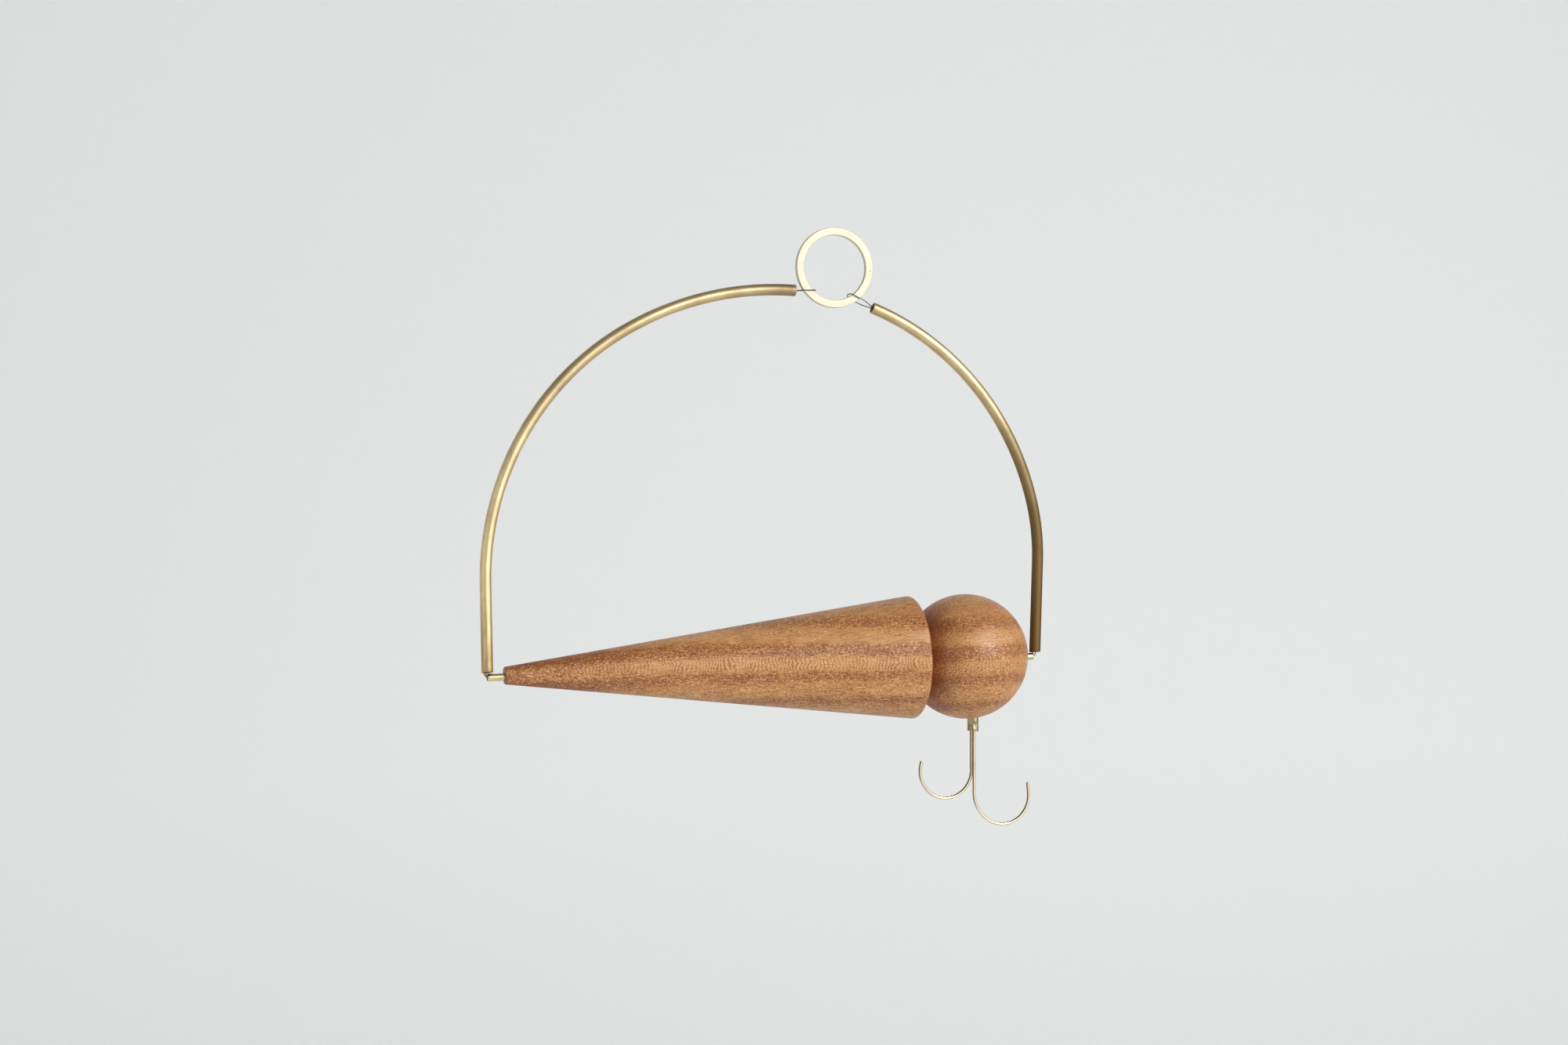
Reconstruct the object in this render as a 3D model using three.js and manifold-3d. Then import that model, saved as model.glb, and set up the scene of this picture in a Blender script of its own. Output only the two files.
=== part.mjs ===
// A hanging ornament. A turned wooden cone and ball make a bar, slung on its side from a hoop
// of two bent brass tubes. A flat brass ring at the top holds it up, and two brass hooks hang
// under the ball. Thin steel wire ties the tubes to the ring and to the ends of the bar.
// Millimetres, +Z up. The hoop lies in the X-Z plane and the ball is on its +X side.
// The origin is the top of the ring's eye, where a hanging thread bears.
import * as THREE from "three";
import { mergeVertices } from "three/addons/utils/BufferGeometryUtils.js";
import Module from "manifold-3d";

const wasm = await Module();
wasm.setup();

// Driving dimensions: the ring.
const ringOuterRadius = 16.5;
const ringBandWidth = 3.15;
const ringThickness = 2.3;
const ringBevel = 0.2;
const ringInnerRadius = ringOuterRadius - ringBandWidth;

// The tube stock of the hoop and of the hooks' ferrule, and the thinner tube of the bar's ends.
const tubeRadius = 2.35;
const tubeWall = 0.45;
const stubRadius = 1.5;
const stubWall = 0.45;

// The bar: a cone and a ball on one axis, which climbs towards the ball.
const coneLength = 172.2;
const coneTipRadius = 3.5;
const coneBaseRadius = 25.5;
const coneTipRounding = 0.5;
const coneRimRounding = 1.4;
const ballRadius = 25.9;
const ballFlatDepth = 2.35; // how much of the ball is cut away for its flat seat on the cone
const ballDrop = 0.65; // how far the ball sits below the cone's axis
const barTilt = 1.66; // degrees
const barBelowRing = 162.1; // from the ring's centre down to the middle of the bar
const barAside = 28.7; // from the ring's centre to the middle of the bar, towards the cone
const ballSeatDistance = ballRadius - ballFlatDepth;

// The stubs: how much shows, how deep they are let in, and how far under the axis they sit.
const tipStubShown = 7;
const tipStubDrop = 0.5;
const endStubShown = 4.1;
const endStubDrop = 1.3; // below the ball's centre
const stubLetIn = 8;

// The hoop: each tube rises straight from its foot, then bends in two arcs to the ring.
// Headings are in degrees from +X towards +Z, and the gaps are those between metal and metal.
const leftFootInside = 0.1; // the foot's centre stands this far inside the stub's mouth
const leftFootGap = 0.5;
const leftFootHeading = 91.2;
const leftTail = 34.9;
const leftKneeTurn = -59.1;
const leftHeadHeading = -2.9;
const leftHeadAngle = 210; // where its head stands round the ring's centre
const leftHeadGap = 3; // from the ring's edge to the middle of the tube's mouth
const leftFootCut = [1, 12.5]; // the foot's cut rises this much to the right and to the front
const rightFootAside = 1.1; // and this one this far outside
const rightFootGap = 0.35;
const rightFootHeading = 88.2;
const rightTail = 38;
const rightKneeTurn = 15.9;
const rightHeadHeading = 159.5;
const rightHeadAngle = 315.8;
const rightHeadGap = 6.6;
const rightFootCut = [3.5, 0];

// The steel wire: it runs doubled, in one bend through the ring and one through each stub.
const wireRadius = 0.21;
const wireReach = 0.95; // how far past the band's inner edge the bend stands in the ring's eye
const leftWireAngle = 229.3; // where each bend stands round the ring's centre
const rightWireAngle = 298.5;
const leftWireTwist = 0; // degrees that the pair of strands is turned about its own line
const rightWireTwist = 24;
const wireSpread = 0.55; // from the middle of a tube's mouth to each strand
const wireLetIn = 6;
const wireOutside = 0.8; // how far outside a stub's mouth the pair of strands comes down
// The strands to the ring open out to the full spread that clears the band, then close to the
// bend. Each pair gives a distance back from the bend, as a share of the wire's reach for the
// first two and of the spread for the last two, and a share of the spread.
const ringWireOpening = [[0.62, 0.97], [0.36, 1]];
const ringWireClosing = [[0.75, 1], [0.2, 0.6]];
// The turn down into a stub: shares of wireOutside along the stub and of its radius above it.
const footWireTurn = [[1, 1], [0.75, 0.5], [-0.5, 0.05]];

// The hooks and the ferrule that holds them under the ball.
const hookWireRadius = 0.67;
const ferruleAside = 3.2; // from the ball's centre, away from the cone
const ferruleShown = 5.4;
const ferruleLetIn = 7;
const ferruleCut = -3; // degrees that its open end rises towards the cone
const hookLetIn = 4.5;
const hookTwist = 68; // degrees that the pair of shanks is turned from side by side
const leftHookShank = 16.35; // straight length below the ferrule
const leftHookRadius = 11.4;
const leftHookTurn = 195; // degrees
const leftHookTip = 1.3;
const rightHookShank = 25.6;
const rightHookEntryRadius = 13.8; // a wider bend that leads into the hook's own
const rightHookEntryTurn = 60;
const rightHookRadius = 11.7;
const rightHookTurn = 124;
const rightHookTip = 4.7;

// Clearances: round pieces let into bores, and faces that rest on each other.
const boreClearance = 0.2;
const faceClearance = 0.3;
const boreOverrun = 1; // how far a cutting bore stands out of the face that it opens

// Facets.
const woodSides = 44;
const ballBands = 20;
const ringSides = 60;
const tubeSides = 14;
const stubSides = 16;
const hookSides = 8;
const wireSides = 6;
const stepsPerRadian = 12;
const ringWireSteps = 34;
const footWireSteps = 28;

const brass = (name, colour, roughness) =>
  new THREE.MeshStandardMaterial({ name, color: colour, roughness, metalness: 1 });
const ringBrass = brass("ring_brass", 0xe3cf95, 0.3);
const tubeBrass = brass("tube_brass", 0xb5965a, 0.3);
const hookBrass = brass("hook_brass", 0xc4a96c, 0.25);
const steel = new THREE.MeshStandardMaterial({
  name: "steel_wire", color: 0x6f6f6c, roughness: 0.35, metalness: 1,
});
const wood = new THREE.MeshStandardMaterial({
  name: "wood", color: 0xb87c4a, roughness: 0.5, metalness: 0,
});

// A closed geometry as a solid that can be cut, and back.
function toSolid(geometry) {
  const bare = geometry.index ? geometry.toNonIndexed() : geometry.clone();
  bare.deleteAttribute("normal");
  bare.deleteAttribute("uv");
  const merged = mergeVertices(bare, 1e-4);
  return new wasm.Manifold(new wasm.Mesh({
    numProp: 3,
    vertProperties: merged.attributes.position.array,
    triVerts: new Uint32Array(merged.index.array),
  }));
}

function toGeometry(solid) {
  const { vertProperties, triVerts } = solid.getMesh();
  const geometry = new THREE.BufferGeometry();
  geometry.setAttribute("position", new THREE.BufferAttribute(vertProperties, 3));
  geometry.setIndex(new THREE.BufferAttribute(triVerts, 1));
  geometry.computeVertexNormals();
  return geometry;
}

function mesh(name, geometry, material) {
  const made = new THREE.Mesh(geometry, material);
  made.name = name;
  return made;
}

// A turned solid about +X, from [place along X, radius] points listed from its low end.
function turnedAlongX(points, sides) {
  const profile = points.map(([along, radius]) => new THREE.Vector2(radius, along));
  return new THREE.LatheGeometry(profile, sides).rotateZ(-Math.PI / 2);
}

// Points of a quarter-round edge, swept from one angle to another about a centre.
function roundedEdge(along, radius, rounding, fromDegrees, toDegrees, count = 4) {
  return Array.from({ length: count + 1 }, (_, i) => {
    const angle = THREE.MathUtils.degToRad(fromDegrees + ((toDegrees - fromDegrees) * i) / count);
    return [along + rounding * Math.cos(angle), radius + rounding * Math.sin(angle)];
  });
}

function cylinderBetween(radius, from, to, sides) {
  const middle = from.clone().add(to).multiplyScalar(0.5);
  const along = to.clone().sub(from);
  const turn = new THREE.Quaternion().setFromUnitVectors(
    new THREE.Vector3(0, 1, 0), along.clone().normalize());
  return new THREE.CylinderGeometry(radius, radius, along.length(), sides)
    .applyQuaternion(turn)
    .translate(middle.x, middle.y, middle.z);
}

// A flat path in an X-Z plane: straight runs and arcs, each starting as the last one ends.
class BentPath extends THREE.Curve {
  constructor(start, headingDegrees, runs) {
    super();
    this.start = start;
    this.heading = THREE.MathUtils.degToRad(headingDegrees);
    this.runs = runs.filter((run) => run.length > 0);
    this.total = this.runs.reduce((sum, run) => sum + run.length, 0);
  }

  getPoint(share, target = new THREE.Vector3()) {
    target.copy(this.start);
    let heading = this.heading;
    let left = share * this.total;
    for (const run of this.runs) {
      const length = Math.min(left, run.length);
      const turn = (run.turn * length) / run.length;
      const chord = turn === 0 ? length : (2 * length * Math.sin(turn / 2)) / turn;
      target.x += chord * Math.cos(heading + turn / 2);
      target.z += chord * Math.sin(heading + turn / 2);
      heading += turn;
      left -= length;
    }
    return target;
  }

  steps() {
    const turned = this.runs.reduce((sum, run) => sum + Math.abs(run.turn), 0);
    return Math.ceil(stepsPerRadian * turned) + 4;
  }
}

const straight = (length) => ({ length, turn: 0 });
const arc = (radius, turnDegrees) => {
  const turn = THREE.MathUtils.degToRad(turnDegrees);
  return { length: radius * Math.abs(turn), turn };
};

// A round rod, or a tube where it has a bore, along a path.
function rodAlong(path, radius, sides, steps, boreRadius = 0) {
  const section = new THREE.Shape(circlePoints(radius, sides));
  if (boreRadius > 0) section.holes.push(new THREE.Path(circlePoints(boreRadius, sides)));
  return new THREE.ExtrudeGeometry(section, { steps, extrudePath: path });
}

function circlePoints(radius, sides) {
  return Array.from({ length: sides }, (_, i) => {
    const angle = (2 * Math.PI * i) / sides;
    return new THREE.Vector2(radius * Math.cos(angle), radius * Math.sin(angle));
  });
}

// What an arc of radius 1 covers along X and Z when it starts at a heading and turns.
function unitArc(heading, turn) {
  const side = Math.sign(turn);
  return [
    side * (Math.sin(heading + turn) - Math.sin(heading)),
    side * (Math.cos(heading) - Math.cos(heading + turn)),
  ];
}

// A tube's path from foot to head: a straight tail, a knee arc and a shoulder arc. The two
// radii are the ones that bring the shoulder to the head.
function hoopPath(foot, footHeading, tail, kneeTurn, head, headHeading) {
  const heading = THREE.MathUtils.degToRad(footHeading);
  const knee = THREE.MathUtils.degToRad(kneeTurn);
  const shoulderTurn = headHeading - footHeading - kneeTurn;
  const [a, c] = unitArc(heading, knee);
  const [b, d] = unitArc(heading + knee, THREE.MathUtils.degToRad(shoulderTurn));
  const x = head.x - foot.x - tail * Math.cos(heading);
  const z = head.z - foot.z - tail * Math.sin(heading);
  const kneeRadius = (x * d - b * z) / (a * d - b * c);
  const shoulderRadius = (a * z - x * c) / (a * d - b * c);
  return new BentPath(foot, footHeading, [
    straight(tail),
    arc(kneeRadius, kneeTurn),
    arc(shoulderRadius, shoulderTurn),
  ]);
}

// Cuts a tube off below a slanting plane through a point. The plane is level where both rises
// are 0, and rises by them to the right (+X) and to the front (-Y).
function cutBelow(geometry, point, [rightRise, frontRise]) {
  const depth = 8 * tubeRadius;
  const tool = new THREE.BoxGeometry(depth, depth, depth)
    .translate(0, 0, -depth / 2)
    .rotateX(-THREE.MathUtils.degToRad(frontRise))
    .rotateY(-THREE.MathUtils.degToRad(rightRise))
    .translate(point.x, point.y, point.z);
  return toGeometry(toSolid(geometry).subtract(toSolid(tool)));
}

// Places: the ring's centre, then the bar with its cone, ball and stubs.
const ringCentre = new THREE.Vector3(0, 0, -ringInnerRadius);
const ballAlong = coneLength + faceClearance + ballSeatDistance;
const barStart = -tipStubShown;
const barEnd = ballAlong + ballRadius + endStubShown;
const barMiddle = (barStart + barEnd) / 2;

const bar = new THREE.Group();
bar.position.set(-barAside, 0, ringCentre.z - barBelowRing);
bar.rotation.y = -THREE.MathUtils.degToRad(barTilt);
bar.updateMatrixWorld();

// Along the bar, 0 is the face of the cone's tip; drop is measured below the cone's axis.
const onBar = (along, drop) => new THREE.Vector3(along - barMiddle, 0, -drop);
const fromBar = (along, drop) => bar.localToWorld(onBar(along, drop));

const ballCentre = fromBar(ballAlong, ballDrop);
const tipStubMouth = fromBar(barStart, tipStubDrop);
const endStubMouth = fromBar(barEnd, ballDrop + endStubDrop);

function makeCone() {
  const slope = Math.atan2(coneBaseRadius - coneTipRadius, coneLength);
  const slopeDegrees = THREE.MathUtils.radToDeg(slope);
  const tipCorner = coneTipRadius + coneTipRounding * (Math.tan(slope) - 1 / Math.cos(slope));
  const rimCorner = coneBaseRadius - coneRimRounding * (Math.tan(slope) + 1 / Math.cos(slope));
  const profile = [
    [0, 0],
    ...roundedEdge(coneTipRounding, tipCorner, coneTipRounding, 180, 90 + slopeDegrees),
    ...roundedEdge(coneLength - coneRimRounding, rimCorner, coneRimRounding,
      90 + slopeDegrees, 0),
    [coneLength, 0],
  ];
  const cone = turnedAlongX(profile, woodSides);
  const bore = cylinderBetween(stubRadius + boreClearance,
    new THREE.Vector3(-boreOverrun, 0, -tipStubDrop),
    new THREE.Vector3(stubLetIn + faceClearance, 0, -tipStubDrop), stubSides);
  return toGeometry(toSolid(cone).subtract(toSolid(bore))).translate(-barMiddle, 0, 0);
}

// The ball in its own frame: centre at 0, with a flat towards the cone and a bore for the stub.
// It hangs true, so the ferrule's bore is upright in the ornament and not square to the bar.
function makeBall() {
  const seatAngle = Math.acos(ballSeatDistance / ballRadius);
  const profile = [[-ballSeatDistance, 0]];
  for (let i = 0; i <= ballBands; i++) {
    const angle = Math.PI - seatAngle - ((Math.PI - seatAngle) * i) / ballBands;
    profile.push([ballRadius * Math.cos(angle), ballRadius * Math.sin(angle)]);
  }
  profile[profile.length - 1][1] = 0;
  const ball = turnedAlongX(profile, woodSides);
  const stubBore = cylinderBetween(stubRadius + boreClearance,
    new THREE.Vector3(ballRadius - stubLetIn - faceClearance, 0, -endStubDrop),
    new THREE.Vector3(ballRadius + boreOverrun, 0, -endStubDrop), stubSides);
  const top = ferruleTop.clone().add(new THREE.Vector3(0, 0, faceClearance));
  const ferruleBore = cylinderBetween(tubeRadius + boreClearance,
    bar.worldToLocal(top).sub(onBar(ballAlong, ballDrop)),
    bar.worldToLocal(ferruleEnd.clone()).sub(onBar(ballAlong, ballDrop)), tubeSides);
  const bored = toSolid(ball).subtract(toSolid(stubBore)).subtract(toSolid(ferruleBore));
  const place = onBar(ballAlong, ballDrop);
  return toGeometry(bored).translate(place.x, place.y, place.z);
}

// A stub is a short open tube along the bar.
function makeStub(low, high, drop) {
  const inner = stubRadius - stubWall;
  const profile = [
    [low, inner], [low, stubRadius], [high, stubRadius], [high, inner], [low, inner],
  ];
  return turnedAlongX(profile, stubSides).translate(-barMiddle, 0, -drop);
}

function makeRing() {
  const half = ringThickness / 2;
  const profile = [
    [-half + ringBevel, ringInnerRadius],
    [-half, ringInnerRadius + ringBevel],
    [-half, ringOuterRadius - ringBevel],
    [-half + ringBevel, ringOuterRadius],
    [half - ringBevel, ringOuterRadius],
    [half, ringOuterRadius - ringBevel],
    [half, ringInnerRadius + ringBevel],
    [half - ringBevel, ringInnerRadius],
    [-half + ringBevel, ringInnerRadius],
  ];
  return turnedAlongX(profile, ringSides)
    .rotateZ(Math.PI / 2)
    .translate(ringCentre.x, ringCentre.y, ringCentre.z);
}

// A point round the ring's centre, at an angle from +X towards +Z.
function roundRing(radius, angleDegrees) {
  const angle = THREE.MathUtils.degToRad(angleDegrees);
  return new THREE.Vector3(radius * Math.cos(angle), 0, radius * Math.sin(angle)).add(ringCentre);
}

// The hoop's tubes, from the foot at a stub's mouth to the head beside the ring.
const leftFoot = tipStubMouth.clone()
  .add(new THREE.Vector3(leftFootInside, 0, stubRadius + leftFootGap));
const rightFoot = endStubMouth.clone()
  .add(new THREE.Vector3(rightFootAside, 0, stubRadius + rightFootGap));
const leftHead = roundRing(ringOuterRadius + leftHeadGap, leftHeadAngle);
const rightHead = roundRing(ringOuterRadius + rightHeadGap, rightHeadAngle);

// The tube starts a little below its foot, so that the slanting cut goes all the way round.
function makeHoopTube(foot, footHeading, tail, kneeTurn, head, headHeading, cut) {
  const spare = 3 * tubeRadius * Math.tan(THREE.MathUtils.degToRad(Math.max(...cut)));
  const heading = THREE.MathUtils.degToRad(footHeading);
  const start = foot.clone()
    .sub(new THREE.Vector3(Math.cos(heading), 0, Math.sin(heading)).multiplyScalar(spare));
  const path = hoopPath(start, footHeading, tail + spare, kneeTurn, head, headHeading);
  const geometry = rodAlong(path, tubeRadius, tubeSides, path.steps(), tubeRadius - tubeWall);
  return cutBelow(geometry, foot, cut);
}

// A doubled wire from a tube's mouth round the ring's band. Two strands leave the bore, pass
// the band one in front and one behind, and join in a bend inside the ring's eye.
function makeRingWire(head, headHeading, angleDegrees, twistDegrees) {
  const bend = roundRing(ringInnerRadius - wireReach, angleDegrees);
  const heading = THREE.MathUtils.degToRad(headHeading);
  const inwards = new THREE.Vector3(Math.cos(heading), 0, Math.sin(heading));
  const line = bend.clone().sub(head);
  const reach = line.length();
  line.normalize();
  const front = new THREE.Vector3(0, -1, 0)
    .applyAxisAngle(line, THREE.MathUtils.degToRad(twistDegrees));
  const spread = (ringThickness / 2 + wireRadius + faceClearance)
    / Math.cos(THREE.MathUtils.degToRad(twistDegrees));
  const inTube = (depth, side) =>
    head.clone().addScaledVector(inwards, -depth).addScaledVector(front, side * wireSpread);
  const byRing = (back, out) =>
    bend.clone().addScaledVector(line, -back).addScaledVector(front, out * spread);
  const strand = (side) => [
    inTube(wireLetIn, side),
    inTube(wireLetIn / 2, side),
    inTube(0, side),
    ...ringWireOpening.map(([back, out]) => byRing(back * reach, side * out)),
    ...ringWireClosing.map(([back, out]) => byRing(back * spread, side * out)),
  ];
  const points = [...strand(1), bend, ...strand(-1).reverse()];
  const path = new THREE.CatmullRomCurve3(points, false, "centripetal");
  return rodAlong(path, wireRadius, wireSides, ringWireSteps);
}

// A doubled wire out of a tube's foot and into a stub's mouth, with its bend inside the stub.
// Outwards is the way the stub's mouth faces along the bar, -1 or 1.
function makeFootWire(foot, mouth, outwards) {
  const apart = wireRadius + faceClearance / 2;
  const out = new THREE.Vector3(outwards, 0, 0).transformDirection(bar.matrixWorld);
  const fromMouth = (along, up) =>
    mouth.clone().addScaledVector(out, along).add(new THREE.Vector3(0, 0, up));
  const strand = (side) => {
    const beside = new THREE.Vector3(side * apart * outwards, -side * apart, 0);
    const across = new THREE.Vector3(0, -side * apart, 0);
    return [
      foot.clone().add(new THREE.Vector3(0, 0, wireLetIn)).add(beside),
      foot.clone().add(new THREE.Vector3(0, 0, wireLetIn / 3)).add(beside),
      ...footWireTurn.map(([along, up]) =>
        fromMouth(along * wireOutside, up * stubRadius).add(along > 0 ? beside : across)),
      fromMouth(-wireLetIn / 2, 0).add(across),
    ];
  };
  const bend = fromMouth(-wireLetIn / 2 - apart, 0);
  const path = new THREE.CatmullRomCurve3(
    [...strand(1), bend, ...strand(-1).reverse()], false, "centripetal");
  return rodAlong(path, wireRadius, wireSides, footWireSteps);
}

// The ferrule: upright, let into the ball, with a slightly slanting open end.
const ferruleX = ballCentre.x + ferruleAside;
const ferruleDepth = Math.sqrt(ballRadius ** 2 - ferruleAside ** 2);
const ferruleEnd = new THREE.Vector3(ferruleX, 0, ballCentre.z - ferruleDepth - ferruleShown);
const ferruleTop = ferruleEnd.clone()
  .add(new THREE.Vector3(0, 0, ferruleShown + ferruleLetIn));

function makeFerrule() {
  const spare = tubeRadius;
  const path = new THREE.LineCurve3(
    ferruleEnd.clone().sub(new THREE.Vector3(0, 0, spare)), ferruleTop);
  const geometry = rodAlong(path, tubeRadius, tubeSides, 1, tubeRadius - tubeWall);
  return cutBelow(geometry, ferruleEnd, [ferruleCut, 0]);
}

// A hook: a shank down from inside the ferrule, then round and up to its tip. Side is -1 for
// the hook that turns towards the cone and 1 for the one that turns away from it. Each bend is
// a radius and the degrees that it turns.
function makeHook(side, shank, bends, tip) {
  const apart = hookWireRadius + faceClearance / 2;
  const twist = THREE.MathUtils.degToRad(hookTwist);
  const start = ferruleEnd.clone().add(new THREE.Vector3(
    side * apart * Math.cos(twist), -side * apart * Math.sin(twist), hookLetIn));
  const path = new BentPath(start, -90, [
    straight(hookLetIn + shank),
    ...bends.map(([radius, turnDegrees]) => arc(radius, side * turnDegrees)),
    straight(tip),
  ]);
  return rodAlong(path, hookWireRadius, hookSides, path.steps());
}

bar.add(
  mesh("cone", makeCone(), wood),
  mesh("ball", makeBall(), wood),
  mesh("tip_stub", makeStub(barStart, stubLetIn, tipStubDrop), tubeBrass),
  mesh("end_stub", makeStub(ballAlong + ballRadius - stubLetIn, barEnd, ballDrop + endStubDrop),
    tubeBrass),
);

const group = new THREE.Group();
group.add(
  bar,
  mesh("ring", makeRing(), ringBrass),
  mesh("arc_tube_left", makeHoopTube(leftFoot, leftFootHeading, leftTail, leftKneeTurn,
    leftHead, leftHeadHeading, leftFootCut), tubeBrass),
  mesh("arc_tube_right", makeHoopTube(rightFoot, rightFootHeading, rightTail, rightKneeTurn,
    rightHead, rightHeadHeading, rightFootCut), tubeBrass),
  mesh("ring_wire_left",
    makeRingWire(leftHead, leftHeadHeading, leftWireAngle, leftWireTwist), steel),
  mesh("ring_wire_right",
    makeRingWire(rightHead, rightHeadHeading, rightWireAngle, rightWireTwist), steel),
  mesh("tip_wire", makeFootWire(leftFoot, tipStubMouth, -1), steel),
  mesh("end_wire", makeFootWire(rightFoot, endStubMouth, 1), steel),
  mesh("hook_ferrule", makeFerrule(), hookBrass),
  mesh("hook_left", makeHook(-1, leftHookShank, [[leftHookRadius, leftHookTurn]], leftHookTip),
    hookBrass),
  mesh("hook_right", makeHook(1, rightHookShank,
    [[rightHookEntryRadius, rightHookEntryTurn], [rightHookRadius, rightHookTurn]],
    rightHookTip), hookBrass),
);

export default group;
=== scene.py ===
"""The looks of a hanging ornament: a wooden cone and ball slung from a hoop of brass tube.

Lengths are millimetres up to the point where a mesh is made. Blender's are metres, and so are
those of the backdrop and the lights.
"""
import math

import bpy
from mathutils import Matrix, Vector


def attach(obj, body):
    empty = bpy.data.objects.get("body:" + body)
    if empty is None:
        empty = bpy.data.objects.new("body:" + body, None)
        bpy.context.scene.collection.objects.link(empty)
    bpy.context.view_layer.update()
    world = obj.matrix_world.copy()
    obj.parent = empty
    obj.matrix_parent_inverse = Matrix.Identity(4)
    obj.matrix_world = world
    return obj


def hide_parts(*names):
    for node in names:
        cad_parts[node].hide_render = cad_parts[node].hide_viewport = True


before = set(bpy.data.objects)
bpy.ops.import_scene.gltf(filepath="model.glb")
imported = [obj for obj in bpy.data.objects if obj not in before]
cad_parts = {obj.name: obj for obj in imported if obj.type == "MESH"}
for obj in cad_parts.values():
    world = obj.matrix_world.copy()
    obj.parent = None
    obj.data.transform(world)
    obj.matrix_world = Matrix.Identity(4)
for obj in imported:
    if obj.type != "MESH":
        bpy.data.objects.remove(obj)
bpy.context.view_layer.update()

MM = 0.001

# Driving dimensions, the same as the solids': the ring.
RING_OUTER_RADIUS = 16.5
RING_INNER_RADIUS = 13.35
RING_THICKNESS = 2.3

# Tube and wire stock.
TUBE_RADIUS = 2.35
TUBE_WALL = 0.45
STUB_RADIUS = 1.5
STUB_WALL = 0.45
STEEL_RADIUS = 0.21
HOOK_RADIUS = 0.67

# The bar.
CONE_LENGTH = 172.2
CONE_TIP_RADIUS = 3.5
CONE_BASE_RADIUS = 25.5
CONE_TIP_ROUNDING = 0.5
CONE_RIM_ROUNDING = 1.4
BALL_RADIUS = 25.9
BALL_SEAT_DISTANCE = 23.55
BALL_DROP = 0.65
BAR_TILT = 1.66
BAR_BELOW_RING = 162.1
BAR_ASIDE = 28.7
TIP_STUB_SHOWN = 7
TIP_STUB_DROP = 0.5
END_STUB_SHOWN = 4.1
END_STUB_DROP = 1.3
STUB_LET_IN = 8

# The hoop: headings are degrees from +X towards +Z.
LEFT_FOOT_INSIDE = 0.1
LEFT_FOOT_GAP = 0.5
LEFT_FOOT_HEADING = 91.2
LEFT_TAIL = 34.9
LEFT_KNEE_TURN = -59.1
LEFT_HEAD_HEADING = -2.9
LEFT_HEAD_ANGLE = 210
LEFT_HEAD_GAP = 3
LEFT_FOOT_CUT = (1, 12.5)
RIGHT_FOOT_ASIDE = 1.1
RIGHT_FOOT_GAP = 0.35
RIGHT_FOOT_HEADING = 88.2
RIGHT_TAIL = 38
RIGHT_KNEE_TURN = 15.9
RIGHT_HEAD_HEADING = 159.5
RIGHT_HEAD_ANGLE = 315.8
RIGHT_HEAD_GAP = 6.6
RIGHT_FOOT_CUT = (3.5, 0)

# The steel wire at the ring and at the feet.
WIRE_REACH = 0.95
LEFT_WIRE_ANGLE = 229.3
RIGHT_WIRE_ANGLE = 298.5
LEFT_WIRE_TWIST = 0
RIGHT_WIRE_TWIST = 24
WIRE_SPREAD = 0.55
WIRE_LET_IN = 6
WIRE_OUTSIDE = 0.8
# How it opens from the tube towards the ring: how far back from its bend, as a share of the
# way there, and how far out, as a share of its full width.
RING_WIRE_OPENING = ((0.62, 0.97), (0.36, 1))
# How it closes round the ring's band, both as shares of its full width.
RING_WIRE_CLOSING = ((0.75, 1), (0.2, 0.6))
# How it turns at a stub's mouth: shares of WIRE_OUTSIDE outwards and of the stub's radius up.
FOOT_WIRE_TURN = ((1, 1), (0.75, 0.5), (-0.5, 0.05))

# The hooks and their ferrule.
FERRULE_ASIDE = 3.2
FERRULE_SHOWN = 5.4
FERRULE_LET_IN = 7
FERRULE_CUT = (-3, 0)
# Its dents: degrees round it from the front towards +X, height over its mouth, and depth.
FERRULE_DENTS = ((-42, 3.3, 0.3), (8, 2.4, 0.28), (165, 2.9, 0.3))
DENT_REACH = 1.1
HOOK_LET_IN = 4.5
HOOK_TWIST = 68
LEFT_HOOK_SHANK = 16.35
LEFT_HOOK_BENDS = ((11.4, 195),)
LEFT_HOOK_TIP = 1.3
RIGHT_HOOK_SHANK = 25.6
RIGHT_HOOK_BENDS = ((13.8, 60), (11.7, 124))
RIGHT_HOOK_TIP = 4.7

BORE_CLEARANCE = 0.2
FACE_CLEARANCE = 0.3
# How far outside a face the bore in it is started.
BORE_OVERRUN = 1

# Rounded edges, and how far up a tube its slanting cut is felt. A lip's middle point lies this
# share of its rounding from each face.
LIP = 0.12
LIP_MIDDLE = 0.3
RING_EDGE = 0.25
STEEL_END_ROUNDING = 0.1
HOOK_END_ROUNDING = 0.22
FOOT_CUT_BLEND = 10
FERRULE_CUT_BLEND = 5

# A small dark pit in the ring's face.
RING_PIT_ANGLE = -4
RING_PIT_RADIUS = 15.3

# How fine the meshes are: sides round a piece, rows along it or the length of a row, and steps
# round an edge.
WOOD_SIDES = 180
WOOD_EDGE_STEPS = 8
CONE_ROWS = 60
BALL_ROWS = 90
BORE_SIDES = 64
RING_SIDES = 240
RING_EDGE_STEPS = 4
TUBE_SIDES = 48
TUBE_STEP = 1.5
STUB_STEP = 1
FERRULE_STEP = 0.5
WIRE_SIDES = 20
STEEL_STEP = 0.35
HOOK_STEP = 0.6
ROD_END_STEPS = 5
# The distance from a rounded edge of the ring to the row that keeps its faces flat.
RING_EDGE_GUARD = 0.15
# Edges that turn by more degrees than this stay sharp.
SHARP_ANGLE = 35
# The length along a tube or wire that one unit of its map covers.
MAP_LENGTH = 100

# The camera.
CAMERA_PLACE = Vector((-406.2, -1183.5, -117.9))
CAMERA_AZIMUTH = -18
CAMERA_LENS = 70
CAMERA_SENSOR = 36
CAMERA_CLIP = 0.05

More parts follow.
